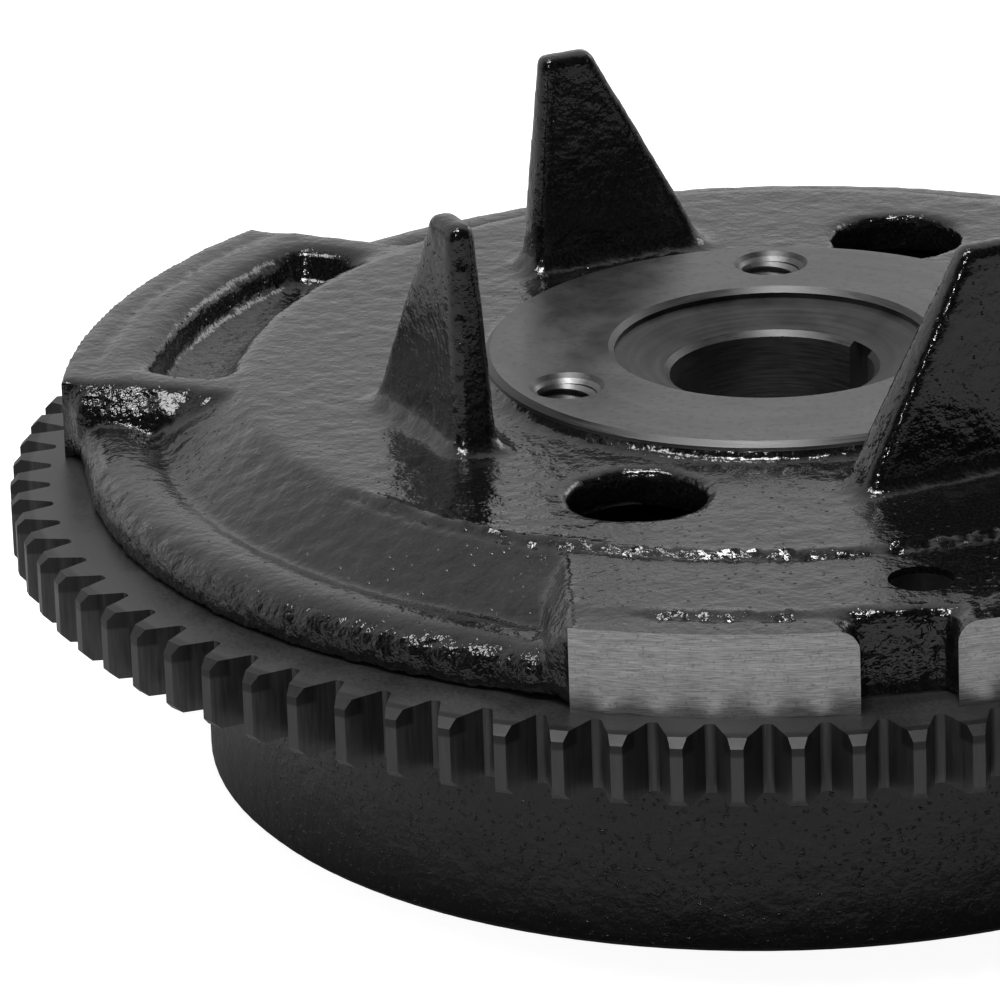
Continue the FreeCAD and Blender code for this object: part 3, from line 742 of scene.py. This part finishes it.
def casting():
    """The whole casting: its rough skin, and the crisp turned hub in the middle of it."""
    zone = hub_zone()
    zone.hide_render = True
    mesh = dense_casting(zone)
    roughened(mesh)
    mesh.materials.clear()
    for material in (enamel("enamel", 1.0), drum_enamel(), turned_iron(), ground_pad(), bright_break(),
                     enamel("crinkled_enamel", 2.5)):
        mesh.materials.append(material)
    casting_surfaces(mesh)
    shade(mesh, 38)
    piece = add_object("casting_skin", mesh)
    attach(piece, "root")
    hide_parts("flywheel_casting")
    machined_hub(zone)
    bpy.data.objects.remove(zone)


# ---------------------------------------------------------------- puller threads

def puller_threads():
    """One thread, a helical ridge with a pointed crest, in each of the three puller holes."""
    pitch = 1.5 * MM
    depth = 0.75 * MM
    steps = 48
    top = HUB_TOP - 1.6 * MM
    low = DISC_TOP - 5.4 * MM
    turns = (top - low) / pitch
    material = bpy.data.materials["turned_iron"]
    for number, place in enumerate(puller_centres(), 1):
        centre = Vector((*place, 0.0))
        shape = bmesh.new()
        rings = []
        for step in range(int(turns * steps) + 1):
            angle = FULL_TURN * step / steps
            height = low + pitch * step / steps
            fade = min(1.0, step / steps * 3, (turns * steps - step) / steps * 3 + 0.05)
            radial = Vector((math.cos(angle), math.sin(angle), 0.0))
            wall = PULLER_RADIUS + 0.05 * MM
            crest = PULLER_RADIUS - depth * fade
            ring = [centre + radial * wall + Vector((0, 0, height - 0.45 * pitch)),
                    centre + radial * crest + Vector((0, 0, height - 0.07 * pitch)),
                    centre + radial * crest + Vector((0, 0, height + 0.07 * pitch)),
                    centre + radial * wall + Vector((0, 0, height + 0.45 * pitch))]
            rings.append([shape.verts.new(point) for point in ring])
        for lower, upper in zip(rings, rings[1:]):
            for side in range(4):
                following = (side + 1) % 4
                shape.faces.new((lower[side], upper[side], upper[following], lower[following]))
        shape.faces.new(rings[0])
        shape.faces.new(rings[-1][::-1])
        bmesh.ops.recalc_face_normals(shape, faces=shape.faces)
        mesh = bpy.data.meshes.new("puller_thread_%d" % number)
        shape.to_mesh(mesh)
        shape.free()
        mesh.materials.append(material)
        shade(mesh, 30)
        piece = add_object(mesh.name, mesh)
        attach(piece, "root")


# ---------------------------------------------------------------- carried-over nodes

def dress_nodes():
    """Procedural materials on the CAD nodes that stay as they are."""
    steel, magnet, plastic = gear_steel(), ferrite(), cage_plastic()
    chosen = {"ring_gear": steel, "magnet_cage": plastic}
    for name, node in NODES.items():
        if name != "flywheel_casting":
            node.data.materials.clear()
            node.data.materials.append(chosen.get(name, magnet))
    gear = NODES["ring_gear"]
    # The bevel faces take the second material: bare-metal wear plus a painted highlight along every
    # sharp edge of the teeth.
    gear.data.materials.append(worn_edge())
    edge_break = gear.modifiers.new("edge_break", "BEVEL")
    edge_break.width = 0.16 * MM
    edge_break.material = 1
    edge_break.segments = 1
    edge_break.limit_method = "ANGLE"
    edge_break.angle_limit = math.radians(30)


# ---------------------------------------------------------------- studio

def studio():
    """Pale floor and a white backdrop behind the part; the camera's side of the room is dark."""
    floor_mesh = bpy.data.meshes.new("floor")
    half = 3.0
    corners = [(-half, -half, 0), (half, -half, 0), (half, half, 0), (-half, half, 0)]
    floor_mesh.from_pydata(corners, [], [(0, 1, 2, 3)])
    floor = add_object("floor", floor_mesh)
    floor.location.z = CAD_BOX[0].z - 0.02 * MM
    floor_mesh.materials.append(floor_paper())
    world = bpy.data.worlds.new("studio")
    bpy.context.scene.world = world
    world.use_nodes = True
    tree = world.node_tree
    sky = tree.nodes["Background"]
    sky.inputs["Color"].default_value = (1.0, 1.0, 1.0, 1.0)
    place = tree.nodes.new("ShaderNodeTexCoord")
    split = tree.nodes.new("ShaderNodeSeparateXYZ")
    tree.links.new(place.outputs["Generated"], split.inputs[0])
    depth = tree.nodes.new("ShaderNodeMapRange")
    depth.interpolation_type = "SMOOTHSTEP"
    ends = {"From Min": -0.35, "From Max": 0.35, "To Min": FRONT_LIGHT, "To Max": BACK_LIGHT}
    for name, number in ends.items():
        depth.inputs[name].default_value = number
    tree.links.new(split.outputs["Y"], depth.inputs["Value"])
    # The backdrop itself looks white; only what it lights and mirrors follows the room's light.
    seen = tree.nodes.new("ShaderNodeLightPath")
    blend = tree.nodes.new("ShaderNodeMix")
    tree.links.new(seen.outputs["Is Camera Ray"], blend.inputs["Factor"])
    tree.links.new(depth.outputs["Result"], blend.inputs["A"])
    blend.inputs["B"].default_value = 1.0
    tree.links.new(blend.outputs["Result"], sky.inputs["Strength"])


def floor_paper():
    """White paper, lit so that it stays pale under the part."""
    n = Nodes("floor_paper", 0.0, 0.8)
    glow = n.tree.nodes.new("ShaderNodeLightPath").outputs["Is Camera Ray"]
    n.shader.inputs["Emission Color"].default_value = (1.0, 1.0, 1.0, 1.0)
    n.put(n.math("MULTIPLY", glow, 0.9), n.shader.inputs["Emission Strength"])
    return n.finish(n.mix(n.noise(0.4, 2.0), 0.48, 0.52))


def softbox(name, place, target, width, depth, power):
    """A rectangular lamp that faces a target."""
    light = bpy.data.lights.new(name, "AREA")
    light.shape = "RECTANGLE"
    light.size = width
    light.size_y = depth
    light.energy = power
    lamp = add_object(name, light)
    lamp.location = place
    lamp.rotation_mode = "QUATERNION"
    lamp.rotation_quaternion = (Vector(target) - Vector(place)).to_track_quat("-Z", "Y")


def lights():
    """One large lamp high in front, and small ones that pick out the wet edges."""
    middle = (0.0, 0.0, HUB_TOP)
    softbox("overhead", (-0.1, 0.1, 0.9), middle, 0.12, 0.12, 0.6)
    softbox("high_front", (-0.12, -0.34, 0.95), middle, 0.34, 0.2, 6.0)
    softbox("front_top", (-0.35, -1.0, 0.55), middle, 0.09, 0.09, 1.9)
    softbox("left_front", (-0.52, -0.25, 0.88), middle, 0.24, 0.24, 2.4)
    softbox("right_back", (0.7, 0.5, 0.5), middle, 0.3, 0.4, 1.0)


def camera():
    """Long lens, from the front left and 21 degrees above the disc."""
    turned = math.radians(-2.6)
    pitch, yaw, roll = math.radians(21.098), math.radians(5.036), math.radians(2.024)
    level = math.cos(pitch)
    forward = Vector((math.sin(yaw) * level, math.cos(yaw) * level, -math.sin(pitch)))
    right = Vector((math.cos(yaw), -math.sin(yaw), 0.0))
    down = forward.cross(right)
    side = right * math.cos(roll) + down * math.sin(roll)
    below = down * math.cos(roll) - right * math.sin(roll)
    spin = Matrix.Rotation(turned, 3, "Z")
    tip_radii_away = Vector((-1.2267, -9.8087, 3.7465))
    place = tip_radii_away * TIP_RADIUS + Vector((0, 0, GEAR_TOP))
    lens_over_sensor = 8.068146
    data = bpy.data.cameras.new("camera")
    data.sensor_width = 36.0
    data.lens = lens_over_sensor * data.sensor_width
    data.clip_start = 0.05
    data.clip_end = 20.0
    made = add_object("camera", data)
    axes = Matrix([spin @ side, spin @ -below, spin @ -forward]).transposed().to_4x4()
    made.matrix_world = Matrix.Translation(spin @ place) @ axes
    bpy.context.scene.camera = made


camera()
casting()
puller_threads()
dress_nodes()
studio()
lights()
bpy.context.scene.view_settings.view_transform = "Standard"
